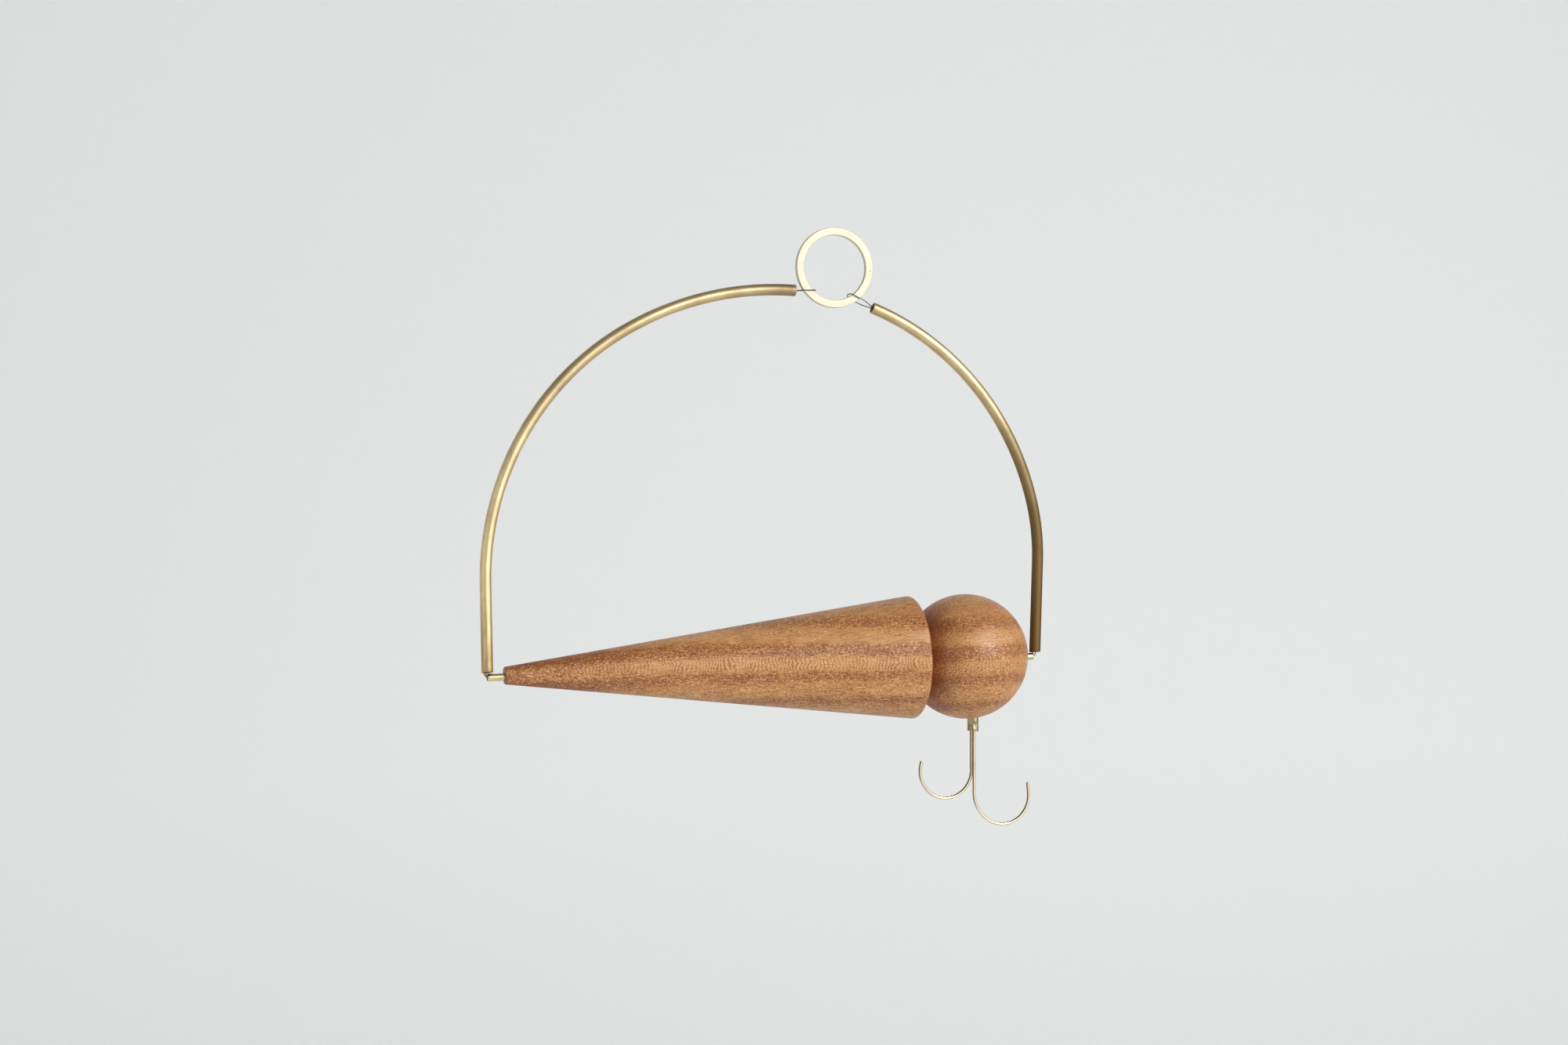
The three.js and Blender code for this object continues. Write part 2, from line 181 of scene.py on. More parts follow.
# The backdrop, in metres, and its faint glow, which rises from left to right.
FLOOR_HEIGHT = -0.95
FLOOR_EDGE = -2.0
WALL_PLACE = 1.6
WALL_TOP = 2.5
BACKDROP_BEND = 0.6
BACKDROP_BEND_STEPS = 24
BACKDROP_HALF_WIDTH = 3
GLOW_PLACES = (-0.35, 1.35)
GLOW_STRENGTHS = (0.165, 0.235)

# The sky's strength, as light and as the plain pale ground beyond the backdrop.
SKY_LIGHT = 0.25
SKY_SEEN = 0.68

# The soft boxes: name, direction as right, up and near to the camera, distance, width and
# height in metres, and power in watts.
SOFT_BOXES = (
    ("key", (0.66, 0.37, 0.62), 1.7, 0.6, 0.6, 13),
    ("wide", (0.76, 0.2, 0.62), 1.9, 3.4, 2.0, 22),
    ("fill", (-0.72, 0.1, 0.68), 2.0, 3.2, 1.8, 8.5),
)
LIT_PLACE = Vector((-28, 0, -120))


# Where things are.

def heading_vector(degrees):
    angle = math.radians(degrees)
    return Vector((math.cos(angle), 0, math.sin(angle)))


RING_CENTRE = Vector((0, 0, -RING_INNER_RADIUS))
BALL_ALONG = CONE_LENGTH + FACE_CLEARANCE + BALL_SEAT_DISTANCE
BAR_START = -TIP_STUB_SHOWN
BAR_END = BALL_ALONG + BALL_RADIUS + END_STUB_SHOWN
BAR_MIDDLE = (BAR_START + BAR_END) / 2
BAR_PLACE = Vector((-BAR_ASIDE, 0, RING_CENTRE.z - BAR_BELOW_RING))
BAR_TURN = Matrix.Rotation(-math.radians(BAR_TILT), 4, "Y")


def on_bar(along, drop):
    """A place on the bar, in its own frame: 0 along it is the face of the cone's tip."""
    return Vector((along - BAR_MIDDLE, 0, -drop))


def from_bar(point):
    return BAR_TURN @ point + BAR_PLACE


def to_bar(point):
    return BAR_TURN.inverted() @ (point - BAR_PLACE)


def round_ring(radius, degrees):
    return RING_CENTRE + radius * heading_vector(degrees)


RING_PIT = round_ring(RING_PIT_RADIUS, RING_PIT_ANGLE) - Vector((0, RING_THICKNESS / 2, 0))
BALL_CENTRE = from_bar(on_bar(BALL_ALONG, BALL_DROP))
TIP_STUB_MOUTH = from_bar(on_bar(BAR_START, TIP_STUB_DROP))
END_STUB_MOUTH = from_bar(on_bar(BAR_END, BALL_DROP + END_STUB_DROP))
LEFT_FOOT = TIP_STUB_MOUTH + Vector((LEFT_FOOT_INSIDE, 0, STUB_RADIUS + LEFT_FOOT_GAP))
RIGHT_FOOT = END_STUB_MOUTH + Vector((RIGHT_FOOT_ASIDE, 0, STUB_RADIUS + RIGHT_FOOT_GAP))
LEFT_HEAD = round_ring(RING_OUTER_RADIUS + LEFT_HEAD_GAP, LEFT_HEAD_ANGLE)
RIGHT_HEAD = round_ring(RING_OUTER_RADIUS + RIGHT_HEAD_GAP, RIGHT_HEAD_ANGLE)
FERRULE_DEPTH = math.sqrt(BALL_RADIUS ** 2 - FERRULE_ASIDE ** 2)
FERRULE_END = BALL_CENTRE + Vector((FERRULE_ASIDE, 0, -FERRULE_DEPTH - FERRULE_SHOWN))


# Paths: each gives a point, the tangent and a side, by the distance along it.

class BentPath:
    """A flat path in an X-Z plane: straight runs and arcs, each starting as the last one ends."""

    def __init__(self, start, heading, runs):
        self.start = start
        self.heading = math.radians(heading)
        self.runs = [run for run in runs if run[0] > 0]
        self.length = sum(length for length, _ in self.runs)

    def at(self, distance):
        """The frame at a distance: point, tangent and the side that faces the camera."""
        point = self.start.copy()
        heading = self.heading
        left = distance
        for index, (length, turn) in enumerate(self.runs):
            last = index == len(self.runs) - 1
            step = left if last else min(left, length)
            turned = turn * step / length
            chord = step if abs(turned) < 1e-9 else 2 * step * math.sin(turned / 2) / turned
            middle = heading + turned / 2
            point += chord * Vector((math.cos(middle), 0, math.sin(middle)))
            heading += turned
            left -= step
            if left <= 0:
                break
        tangent = Vector((math.cos(heading), 0, math.sin(heading)))
        return point, tangent, Vector((0, -1, 0))


def straight(length):
    return length, 0


def arc(radius, turn):
    return radius * abs(math.radians(turn)), math.radians(turn)


def unit_arc(heading, turn):
    """What an arc of radius 1 covers along X and Z when it starts at a heading and turns."""
    side = math.copysign(1, turn)
    return (side * (math.sin(heading + turn) - math.sin(heading)),
            side * (math.cos(heading) - math.cos(heading + turn)))


def hoop_path(foot, foot_heading, tail, knee_turn, head, head_heading):
    """A straight tail, a knee arc and a shoulder arc, whose radii bring it to the head."""
    heading = math.radians(foot_heading)
    knee = math.radians(knee_turn)
    shoulder_turn = head_heading - foot_heading - knee_turn
    knee_x, knee_z = unit_arc(heading, knee)
    shoulder_x, shoulder_z = unit_arc(heading + knee, math.radians(shoulder_turn))
    x = head.x - foot.x - tail * math.cos(heading)
    z = head.z - foot.z - tail * math.sin(heading)
    spread_out = knee_x * shoulder_z - shoulder_x * knee_z
    knee_radius = (x * shoulder_z - shoulder_x * z) / spread_out
    shoulder_radius = (knee_x * z - x * knee_z) / spread_out
    return BentPath(foot, foot_heading, [
        straight(tail), arc(knee_radius, knee_turn), arc(shoulder_radius, shoulder_turn)])


class SmoothPath:
    """A smooth curve through points, walked by the distance along it."""

    STEPS_A_SPAN = 24

    def __init__(self, points):
        ends = [2 * points[0] - points[1], *points, 2 * points[-1] - points[-2]]
        places = [points[0]]
        for i in range(1, len(ends) - 2):
            for j in range(1, self.STEPS_A_SPAN + 1):
                places.append(self.between(ends[i - 1:i + 3], j / self.STEPS_A_SPAN))
        self.places = places
        self.distances = [0]
        for before, after in zip(places, places[1:]):
            self.distances.append(self.distances[-1] + (after - before).length)
        self.length = self.distances[-1]
        self.sides = self.carried_sides()

    @staticmethod
    def between(four, share):
        """The place a share of the way between the middle two of four points."""
        knots = [0]
        for before, after in zip(four, four[1:]):
            knots.append(knots[-1] + math.sqrt((after - before).length))
        at = knots[1] + share * (knots[2] - knots[1])

        def mix(low, high, i, j):
            width = knots[j] - knots[i]
            return low * ((knots[j] - at) / width) + high * ((at - knots[i]) / width)

        spans = [mix(four[i], four[i + 1], i, i + 1) for i in range(3)]
        low, high = [mix(spans[i], spans[i + 1], i, i + 2) for i in range(2)]
        return mix(low, high, 1, 2)

    def tangent(self, i):
        low = self.places[max(i - 1, 0)]
        high = self.places[min(i + 1, len(self.places) - 1)]
        return (high - low).normalized()

    def carried_sides(self):
        """A side at each place, carried along without twist."""
        first = self.tangent(0)
        side = first.orthogonal().normalized()
        sides = [side]
        for i in range(1, len(self.places)):
            tangent = self.tangent(i)
            side = (side - side.dot(tangent) * tangent).normalized()
            sides.append(side)
        return sides

    def at(self, distance):
        i = 0
        while i < len(self.places) - 2 and self.distances[i + 1] < distance:
            i += 1
        span = self.distances[i + 1] - self.distances[i]
        share = (distance - self.distances[i]) / span
        point = self.places[i].lerp(self.places[i + 1], share)
        tangent = self.tangent(i).lerp(self.tangent(i + 1), share).normalized()
        side = self.sides[i].lerp(self.sides[i + 1], share)
        side = (side - side.dot(tangent) * tangent).normalized()
        return point, tangent, side


# Meshes.

def spread(low, high, count):
    """Evenly spaced numbers from low to high, both included."""
    return [low + (high - low) * i / count for i in range(count + 1)]


def angles_round(count):
    """Evenly spaced angles, once round."""
    return [2 * math.pi * k / count for k in range(count)]


def placed(name, data):
    """A new object in the scene."""
    thing = bpy.data.objects.new(name, data)
    bpy.context.scene.collection.objects.link(thing)
    return thing


def smooth(mesh):
    """Smooth shading, with the sharp edges kept."""
    mesh.shade_smooth()
    mesh.set_sharp_from_angle(angle=math.radians(SHARP_ANGLE))


def new_piece(name, points, faces, nodes, material, uvs=None, matrix=None):
    """A mesh object in place of CAD nodes. Points are millimetres in its own frame."""
    mesh = bpy.data.meshes.new(name)
    mesh.from_pydata([tuple(MM * point) for point in points], [], faces)
    mesh.validate()
    if uvs:
        layer = mesh.uv_layers.new(name="Along")
        for polygon in mesh.polygons:
            for loop, uv in zip(polygon.loop_indices, uvs[polygon.index]):
                layer.data[loop].uv = uv
    smooth(mesh)
    mesh.materials.append(material)
    piece = placed(name, mesh)
    if matrix:
        piece.matrix_world = matrix
    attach(piece, "root")
    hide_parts(*nodes)
    return piece


def belt(low, high, count):
    """The faces between two rings of points, which start at low and at high."""
    return [(low + k, low + (k + 1) % count, high + (k + 1) % count, high + k)
            for k in range(count)]


def belt_map(low, high, count):
    """A belt's map: the distance along from low to high, and the share of the way round."""
    low /= MAP_LENGTH
    high /= MAP_LENGTH
    return [((low, k / count), (low, (k + 1) / count), (high, (k + 1) / count), (high, k / count))
            for k in range(count)]


def swept(path, outline, sides, shift=None):
    """A skin round a path, and its map. Outline lists (distance, radius) from end to end, and
    closes on itself where it starts and ends alike. Shift moves a point along, by its place
    across."""
    closed = outline[0] == outline[-1]
    rows = outline[:-1] if closed else outline
    points = []
    for distance, radius in rows:
        for angle in angles_round(sides):
            along = distance
            if shift:
                along += shift(distance, radius, angle)
            point, tangent, side = path.at(along)
            up = tangent.cross(side)
            points.append(point + radius * (math.cos(angle) * side + math.sin(angle) * up))
    faces = []
    uvs = []
    count = len(rows)
    for i in range(count if closed else count - 1):
        j = (i + 1) % count
        faces += belt(i * sides, j * sides, sides)
        uvs += belt_map(rows[i][0], rows[j][0], sides)
    if not closed:
        for start, distance in ((0, rows[0][0]), ((count - 1) * sides, rows[-1][0])):
            ring = list(range(start, start + sides))
            faces.append(tuple(ring if start else reversed(ring)))
            uvs.append([(distance / MAP_LENGTH, k / sides) for k in range(sides)])
    return points, faces, uvs


def tube_outline(length, outer, wall, step):
    """The closed outline of an open tube with rounded lips."""
    inner = outer - wall
    count = max(2, round(length / step))
    near = LIP_MIDDLE * LIP
    outside = [(0, inner + LIP), (0, outer - LIP), (near, outer - near), (LIP, outer)]
    outside += [(place, outer) for place in spread(LIP, length - LIP, count)[1:]]
    outside += [(length - near, outer - near), (length, outer - LIP), (length, inner + LIP)]
    inside = [(length - near, inner + near)]
    inside += [(place, inner) for place in spread(length - LIP, LIP, count)]
    inside += [(near, inner + near), outside[0]]
    return outside + inside


def rod_outline(length, radius, step, rounding):
    """The outline of a solid rod with rounded ends."""
    count = max(2, round(length / step))
    front = [(rounding * (1 - math.cos(angle)), radius - rounding * (1 - math.sin(angle)))
             for angle in spread(0, math.pi / 2, ROD_END_STEPS)]
    body = [(place, radius) for place in spread(rounding, length - rounding, count)[1:-1]]
    back = [(length - place, across) for place, across in reversed(front)]
    return front + body + back


def slanting_cut(path, cut, blend):
    """Moves the first stretch of a tube along itself, so that its end lies on a slanting plane
    that rises by the two angles of the cut, to the right and to the front."""
    right = math.tan(math.radians(cut[0]))
    front = math.tan(math.radians(cut[1]))
    _, tangent, side = path.at(0)
    up = tangent.cross(side)

    def shift(distance, radius, angle):
        off = radius * (math.cos(angle) * side + math.sin(angle) * up)
        rise = (off.x * right - off.y * front - off.z) / (tangent.z - tangent.x * right)
        return rise * max(0, 1 - distance / blend)

    return shift


def turned(profile, sides):
    """A turned solid about X, from (along, radius) pairs that start and end on the axis."""
    points = [Vector((profile[0][0], 0, 0))]
    for along, radius in profile[1:-1]:
        points += [Vector((along, radius * math.cos(angle), radius * math.sin(angle)))
                   for angle in angles_round(sides)]
    points.append(Vector((profile[-1][0], 0, 0)))
    last = len(points) - 1
    faces = [(0, 1 + (k + 1) % sides, 1 + k) for k in range(sides)]
    for low in range(1, last - sides, sides):
        faces += belt(low, low + sides, sides)
    low = last - sides
    faces += [(low + k, low + (k + 1) % sides, last) for k in range(sides)]
    return points, faces


def rounded_edge(along, radius, rounding, low, high):
    """Points round a rounded edge, from one heading in degrees to another."""
    angles = spread(math.radians(low), math.radians(high), WOOD_EDGE_STEPS)
    return [(along + rounding * math.cos(angle), radius + rounding * math.sin(angle))
            for angle in angles]


def bore(piece, radius, start, end):
    """Cuts a round hole in a piece, between two places in millimetres in the piece's frame."""
    axis = (end - start).normalized()
    side = axis.orthogonal().normalized()
    up = axis.cross(side)
    ring = [radius * (math.cos(angle) * side + math.sin(angle) * up)
            for angle in angles_round(BORE_SIDES)]
    points = [start + point for point in ring] + [end + point for point in ring]
    faces = belt(0, BORE_SIDES, BORE_SIDES)
    faces += [tuple(reversed(range(BORE_SIDES))), tuple(range(BORE_SIDES, 2 * BORE_SIDES))]
    mesh = bpy.data.meshes.new("bore")
    mesh.from_pydata([tuple(MM * point) for point in points], [], faces)
    tool = placed("bore", mesh)
    tool.matrix_world = piece.matrix_world
    cut = piece.modifiers.new("bore", "BOOLEAN")
    cut.operation = "DIFFERENCE"
    cut.solver = "EXACT"
    cut.object = tool
    bpy.context.view_layer.update()
    shape = piece.evaluated_get(bpy.context.evaluated_depsgraph_get())
    bored = bpy.data.meshes.new_from_object(shape)
    piece.modifiers.remove(cut)
    piece.data = bored
    smooth(bored)
    bpy.data.objects.remove(tool)


# Materials.

class Shader:
    """A material's nodes, made and joined in few words."""

    def __init__(self, name):
        self.material = bpy.data.materials.new(name)
        self.material.use_nodes = True
        self.tree = self.material.node_tree
        self.surface = self.tree.nodes["Principled BSDF"]
        self.place = self.add("ShaderNodeTexCoord")

    def add(self, kind, **settings):
        node = self.tree.nodes.new(kind)
        for name, value in settings.items():
            setattr(node, name, value)
        return node

    def join(self, source, target):
        self.tree.links.new(source, target)

    def feed(self, socket, value):
        if isinstance(value, bpy.types.NodeSocket):
            self.join(value, socket)
        else:
            socket.default_value = value

    def math(self, operation, a, b=0.0, c=0.0, clamp=False):
        node = self.add("ShaderNodeMath", operation=operation, use_clamp=clamp)
        for socket, value in zip(node.inputs, (a, b, c)):
            self.feed(socket, value)
        return node.outputs[0]

    def sum(self, total, *others):
        for other in others:
            total = self.math("ADD", total, other)
        return total

    def product(self, total, *others):
        for other in others:
            total = self.math("MULTIPLY", total, other)
        return total

    def vector_math(self, operation, vector, numbers):
        node = self.add("ShaderNodeVectorMath", operation=operation)
        self.join(vector, node.inputs[0])
        node.inputs[1].default_value = numbers
        return node.outputs

    def scaled(self, vector, factors):
        return self.vector_math("MULTIPLY", vector, factors)["Vector"]

    def distance(self, vector, place):
        return self.vector_math("DISTANCE", vector, place)["Value"]

    def along(self, vector, direction):
        return self.vector_math("DOT_PRODUCT", vector, direction)["Value"]

    def millimetres(self):
        """The place on the piece, in its own frame."""
        return self.scaled(self.place.outputs["Object"], (1 / MM, 1 / MM, 1 / MM))

    def joined(self, x, y, z):
        node = self.add("ShaderNodeCombineXYZ")
        for socket, value in zip(node.inputs, (x, y, z)):
            self.feed(socket, value)
        return node.outputs[0]

    def split(self, vector):
        node = self.add("ShaderNodeSeparateXYZ")
        self.join(vector, node.inputs[0])
        return node.outputs

    def noise(self, vector, scale=1.0, detail=3.0, roughness=0.5, distortion=0.0):
        node = self.add("ShaderNodeTexNoise")
        self.join(vector, node.inputs["Vector"])
        node.inputs["Scale"].default_value = scale
        node.inputs["Detail"].default_value = detail
        node.inputs["Roughness"].default_value = roughness
        node.inputs["Distortion"].default_value = distortion
        return node.outputs["Fac"]

    def between(self, value, low, high, to_low=0.0, to_high=1.0):
        node = self.add("ShaderNodeMapRange")
        for socket, number in zip(node.inputs, (value, low, high, to_low, to_high)):
            self.feed(socket, number)
        return node.outputs[0]

    def ramp(self, value, stops):
        node = self.add("ShaderNodeValToRGB")
        self.join(value, node.inputs[0])
        points = node.color_ramp.elements
        while len(points) < len(stops):
            points.new(0.5)
        for point, (place, colour) in zip(points, stops):
            point.position = place
            point.color = (*colour, 1)
        return node.outputs[0]

    def graded(self, value, pairs):
        """A number that follows a value, by pairs of the value and the number there."""
        low = pairs[0][0]
        high = pairs[-1][0]
        stops = [((place - low) / (high - low), (number,) * 3) for place, number in pairs]
        return self.ramp(self.between(value, low, high), stops)

    def swing(self, noise, amount, share=1.0):
        """How far a noise is from its middle, times an amount and a share."""
        return self.product(self.math("SUBTRACT", noise, 0.5), amount, share)

    def waves(self, distance, pitch, noise, bends, depth, share):
        """Thin wavy lines a pitch apart, which a noise bends by so many pitches."""
        turns = self.math("DIVIDE", distance, pitch)
        bent = self.math("MULTIPLY_ADD", noise, bends, turns)
        return self.product(self.math("SINE", self.product(bent, 2 * math.pi)), depth, share)

    def mix(self, share, low, high):
        node = self.add("ShaderNodeMix", data_type="RGBA")
        self.feed(node.inputs["Factor"], share)
        for name, value in (("A", low), ("B", high)):
            socket = [s for s in node.inputs if s.name == name and s.type == "RGBA"][0]
            if isinstance(value, bpy.types.NodeSocket):
                self.join(value, socket)
            else:
                socket.default_value = (*value, 1)
        return [s for s in node.outputs if s.type == "RGBA"][0]

    def bump(self, height, strength, distance):
        node = self.add("ShaderNodeBump")
        node.inputs["Strength"].default_value = strength
        node.inputs["Distance"].default_value = distance * MM
        self.join(height, node.inputs["Height"])
        self.join(node.outputs["Normal"], self.surface.inputs["Normal"])

    def set(self, name, value):
        self.feed(self.surface.inputs[name], value)

    def metal(self, colour, roughness):
        self.set("Base Color", colour)
        self.set("Metallic", 1.0)
        self.set("Roughness", roughness)


# How dark the wood is across its bands, by the height on the bar.
WOOD_BANDS = (
    (-26, 0.5), (-19.2, 0.5), (-18, 0.7), (-16.6, 0.82), (-15.2, 0.6), (-14.2, 0.43),
    (-11.2, 0.4), (-9.8, 0.54), (-8.4, 0.76), (-6, 0.76), (-4.8, 0.45), (-2.8, 0.38), (-0.4, 0.38),
    (0.8, 0.54), (2.2, 0.79), (4, 0.75), (5.4, 0.78), (6.8, 0.46), (8.6, 0.33), (12, 0.36),
    (13.6, 0.62), (15.2, 0.77), (17.4, 0.66), (18.8, 0.48), (26, 0.46),
)
# The wood's colours, from light to dark.
WOOD_TONES = (
    (0.0, (0.7, 0.4, 0.175)), (0.25, (0.59, 0.3, 0.11)), (0.5, (0.46, 0.2, 0.067)),
    (0.75, (0.345, 0.118, 0.034)), (1.0, (0.21, 0.064, 0.019)),
)
# The bands climb towards the cone's tip and sway a little. They lean from front to back by so
# much a millimetre, and rise to make that good in front.
BAND_CLIMB = 4.3
BAND_SWAY = 4
BAND_LEAN = 0.12
BAND_RISE = 2.4
# The cone is darker towards its tip, and the ball has painted shade in the crease where it meets
# the cone: how much, how far.
TIP_SHADE = (0.34, 65)
CREASE_PAINTED_SHADE = (0.6, 14)
# Cross ribs fill the middle band: the heights where they start, are full, stay full and end,
# their pitch, and the length over which they fade at the cone's tip.
RIB_HEIGHTS = (-5.2, -3.8, -0.2, 1.2)
RIB_PITCH = 1.45
RIB_FADE = 80
# The pitch of the silky ripple.
SILK_PITCH = 0.85
# Where the cone's tip and base and the ball's flat are, in the bar's own frame.
CONE_TIP = -BAR_MIDDLE
CONE_BASE = CONE_LENGTH - BAR_MIDDLE
BALL_SEAT = CONE_BASE + FACE_CLEARANCE


def band_height(shader, grain, is_cone, lift, shift):
    """How high a place lies across the bands. Lift moves them up, and shift moves their sway."""
    x, y, z = shader.split(grain)
    height = shader.math("SUBTRACT", z, lift)
    if is_cone:
        level = shader.math("POWER", shader.between(x, CONE_TIP, CONE_BASE), 3.0)
        height = shader.math("MULTIPLY_ADD", level, BAND_CLIMB, height)
        height = shader.math("SUBTRACT", height, BAND_CLIMB)
    sway = shader.noise(shader.joined(shader.math("ADD", x, shift), y, z), 0.03, 2)
    return shader.sum(height, shader.swing(sway, BAND_SWAY), shader.product(y, BAND_LEAN),
                      BAND_RISE)


def wood_material(name, is_cone, lift, shift):
    """Hardwood with its grain along the bar: light bands with a fine silky ripple, dark bands
    with short flecks, and cross ribs in the middle band."""
    shader = Shader(name)
    grain = shader.millimetres()
    x, y, z = shader.split(grain)
    height = band_height(shader, grain, is_cone, lift, shift)
    band = shader.graded(height, WOOD_BANDS)
    if is_cone:
        painted_crease_shade = 0.0
        shade, reach = TIP_SHADE
        band = shader.sum(band, shader.between(x, CONE_TIP, CONE_TIP + reach, shade, 0.0))
    else:
        # Painted shade on the ball: its wood is darker where it meets the cone.
        shade, reach = CREASE_PAINTED_SHADE
        painted_crease_shade = shader.between(x, BALL_SEAT, BALL_SEAT + reach, shade, 0.0)

    streaks = shader.noise(shader.scaled(grain, (0.045, 1.9, 1.9)), 1, 4, 0.6)
    flecks = shader.noise(shader.scaled(grain, (0.9, 2.7, 2.7)), 1, 3, 0.65, 0.6)
    specks = shader.noise(shader.scaled(grain, (1.1, 3.4, 3.0)), 1, 1, 0.5, 0.3)
    clouds = shader.noise(shader.scaled(grain, (0.1, 0.22, 0.22)), 1, 2, 0.5)
    eddies = shader.noise(shader.scaled(grain, (0.3, 0.34, 0.3)), 1, 2, 0.55)

    low, full, still_full, high = RIB_HEIGHTS
    rib_share = shader.product(
        shader.between(height, low, full), shader.between(height, high, still_full),
        shader.between(clouds, 0.3, 0.6, 0.35, 1.0),
        shader.between(x, CONE_TIP, CONE_TIP + RIB_FADE, 0.25, 1.0))
    fleck_share = shader.between(band, 0.42, 0.66, 0.14, 1.0)
    silk_share = shader.between(band, 0.66, 0.3, 0.25, 1.0)
    if is_cone:
        silk_share = shader.math("MULTIPLY_ADD", rib_share, -0.6, silk_share)

    across = shader.math("MULTIPLY_ADD", y, 0.6, z)
    silk = shader.waves(across, SILK_PITCH, eddies, 7.0, 0.3, silk_share)
    ribs = shader.waves(x, RIB_PITCH, clouds, 4.5, 0.29 if is_cone else 0.14, rib_share)
    light_specks = shader.product(shader.between(specks, 0.56, 0.66), fleck_share, -0.5)
    tone = shader.sum(band, painted_crease_shade, shader.swing(streaks, 1.15), shader.swing(clouds, 0.5),
                      shader.swing(flecks, 3.6, fleck_share), silk, ribs, light_specks)
    shader.set("Base Color", shader.ramp(tone, WOOD_TONES))
    shader.set("Roughness", shader.between(tone, 0.0, 1.0, 0.33, 0.5))
    shader.set("Specular IOR Level", 0.5)
    shader.bump(shader.math("MULTIPLY_ADD", flecks, fleck_share, silk), 0.25, 0.12)
    return shader.material


# How deep the hoop's patina is, by the distance from each tube's foot.
LEFT_PATINA = (
    (-10, 0.12), (14, 0.12), (28, 0.04), (55, 0.0), (95, 0.08), (125, 0.38), (160, 0.3),
    (185, 0.25), (210, 0.4), (240, 0.8), (310, 0.98),
)
RIGHT_PATINA = (
    (-10, 1.0), (60, 0.95), (90, 0.7), (115, 0.25), (150, 0.12), (172, 0.4), (310, 0.65),
)
# How strong and how deep the fine lines on drawn and on brushed brass are.
DRAWN_LINES = (0.12, 0.02)
BRUSHED_LINES = (0.15, 0.02)


def drawn_brass(shader, colour, dull, roughness, tarnish):
    """Drawn brass: its colour and roughness, with a faint uneven tarnish, and the fine lines
    along the stock."""
    lines = shader.noise(shader.scaled(shader.place.outputs["UV"], (6, 40, 1)), 1, 4, 0.65)
    place = shader.millimetres()
    clouds = shader.noise(place, 0.09, 4, 0.6)
    spots = shader.noise(place, 0.8, 2, 0.5)
    share = shader.between(clouds, 0.42, 0.7, 0.0, tarnish)
    share = shader.math("ADD", share, shader.between(spots, 0.68, 0.76, 0.0, 0.25), clamp=True)
    uneven = shader.math("MULTIPLY_ADD", lines, 0.16, roughness - 0.08)
    rough = shader.math("MULTIPLY_ADD", share, 0.12, uneven)
    return shader.mix(share, colour, dull), rough, lines


def tube_material(name, colour, patina, depths):
    """The hoop's brass, with a patina that comes and goes along the tube by the pairs in
    depths, and stained streaks at its foot."""
    shader = Shader(name)
    base, rough, lines = drawn_brass(shader, colour, (0.5, 0.35, 0.17), 0.36, 0.5)
    place = shader.millimetres()
    along = shader.product(shader.split(shader.place.outputs["UV"])[0], MAP_LENGTH)
    uneven = shader.noise(place, 0.07, 3, 0.6)
    deep = shader.graded(shader.sum(along, shader.swing(uneven, 20)), depths)
    streaks = shader.noise(shader.scaled(place, (0.8, 0.8, 0.09)), 1, 3, 0.6)
    stained = shader.product(shader.between(streaks, 0.36, 0.6),
                             shader.between(along, 30, 10, 0.0, 0.6))
    base = shader.mix(stained, base, (0.42, 0.25, 0.08))
    shader.metal(shader.mix(deep, base, patina), shader.math("MULTIPLY_ADD", deep, 0.26, rough))
    shader.bump(lines, *DRAWN_LINES)
    return shader.material


def stub_material():
    """Clean drawn brass."""
    shader = Shader("stub_brass")
    base, rough, lines = drawn_brass(shader, (0.76, 0.64, 0.38), (0.42, 0.3, 0.14), 0.26, 0.5)
    shader.metal(base, rough)
    shader.bump(lines, *DRAWN_LINES)
    return shader.material


def ferrule_material():
    """Dull brass, a little uneven where the tube was squeezed shut on the hooks."""
    shader = Shader("ferrule_brass")
    base, rough, _ = drawn_brass(shader, (0.54, 0.44, 0.26), (0.3, 0.22, 0.1), 0.16, 0.7)
    shader.metal(base, rough)
    place = shader.scaled(shader.millimetres(), (0.5, 0.5, 0.3))
    shader.bump(shader.noise(place, 1, 1, 0.4), 0.4, 0.6)
    return shader.material


def hook_material():
    """Bright drawn wire, with painted shade in dark brown down its left and upper side."""
    shader = Shader("hook_brass")
    base, rough, lines = drawn_brass(shader, (0.88, 0.77, 0.54), (0.55, 0.45, 0.29), 0.18, 0.5)
    # Painted shade: the wire turns dark brown where its surface faces left and up.
    painted_shade_side = shader.along(shader.place.outputs["Normal"], (-0.85, 0, 0.5))
    shader.metal(shader.mix(shader.between(painted_shade_side, 0.42, 0.66), base, (0.2, 0.145, 0.085)), rough)
    shader.bump(lines, *DRAWN_LINES)
    return shader.material


def ring_material():
    """Pale brass, brushed across the flat face, with a small dark pit."""
    shader = Shader("ring_brass")
    place = shader.millimetres()
    lines = shader.noise(shader.scaled(place, (0.5, 6, 7)), 1, 3, 0.6)
    clouds = shader.noise(place, 0.22, 3, 0.5)
    base = shader.mix(shader.between(clouds, 0.35, 0.75), (0.72, 0.68, 0.545), (0.68, 0.63, 0.49))
    beside_pit = shader.between(shader.distance(place, RING_PIT), 0.1, 0.32)
    base = shader.mix(beside_pit, (0.16, 0.12, 0.06), base)
    shader.metal(base, shader.between(lines, 0.3, 0.7, 0.6, 0.68))
    shader.bump(lines, *BRUSHED_LINES)
    return shader.material


def steel_material():
    """Dull grey wire with darker patches."""
    shader = Shader("steel_wire")
    clouds = shader.noise(shader.millimetres(), 1.3, 3, 0.5)
    shader.metal(shader.mix(clouds, (0.2, 0.19, 0.17), (0.1, 0.09, 0.08)),
                 shader.between(clouds, 0.3, 0.7, 0.25, 0.42))
    return shader.material


